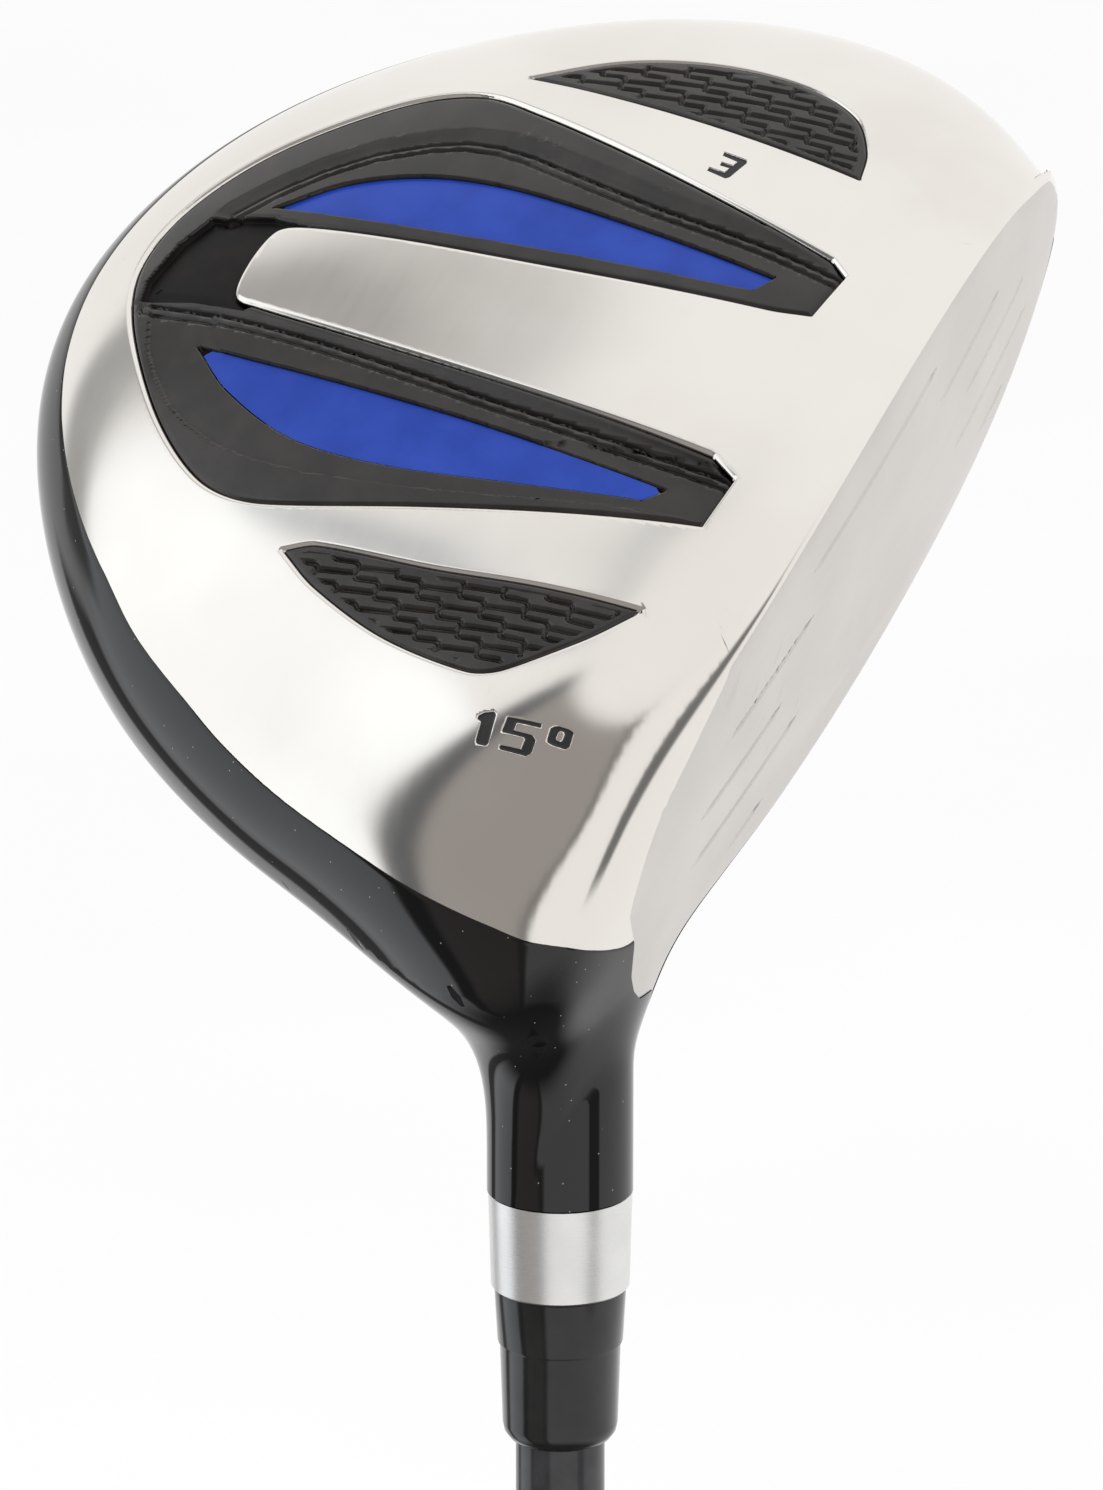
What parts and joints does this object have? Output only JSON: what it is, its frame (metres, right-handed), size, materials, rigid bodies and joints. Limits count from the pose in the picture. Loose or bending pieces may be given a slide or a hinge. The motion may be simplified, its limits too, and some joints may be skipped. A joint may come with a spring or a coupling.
{
  "type": "golf fairway wood",
  "caption": "Right-handed 15-degree fairway wood: hollow steel head, polished sole with a black V badge, blue inlays and textured pads, trim ring, ferrule, graphite shaft and rubber grip",
  "frame": {"origin": "Middle of the flat butt end of the grip cap, on the shaft's axis. The club is held up there, butt down and head up, as the picture shows it.", "axes": "+Z runs along the shaft from the butt to the head. +X points where the ball is sent. -Y is the side the sole faces, turned up from the ground by the lie angle."},
  "size_m": [0.0956, 0.1002, 1.1297],
  "materials": {
    "black_paint": "gloss black paint with a fine metallic fleck",
    "polished_steel": "polished",
    "satin_steel": "satin, brushed from heel to toe",
    "plain_steel": "as welded",
    "black_badge": "semi-gloss moulding",
    "blue_inlay": "gloss metallic blue",
    "black_pad": "textured",
    "tape": "double-sided tape",
    "melt": "soft amber hot melt",
    "ring_aluminium": "satin turned",
    "ferrule_plastic": "gloss",
    "graphite": "lacquered dark graphite",
    "brass": "plain",
    "grip_tape": "paper tape",
    "grip_rubber": "matte",
    "cap_rubber": "matte, harder than the sleeve"
  },
  "bodies": {
    "root": {"crown_shell": "black_paint", "sole_shell": "polished_steel", "face_plate": "satin_steel", "hosel_tube": "plain_steel", "badge_frame": "black_badge", "badge_tape": "tape", "toe_inlay": "blue_inlay", "heel_inlay": "blue_inlay", "heel_pad": "black_pad", "heel_pad_tape": "tape", "toe_pad": "black_pad", "toe_pad_tape": "tape", "hot_melt_pad": "melt", "trim_ring": "ring_aluminium", "ferrule": "ferrule_plastic", "shaft": "graphite", "tip_weight": "brass", "grip_tape": "grip_tape", "grip_sleeve": "grip_rubber", "grip_cap": "cap_rubber"}
  },
  "joints": []
}
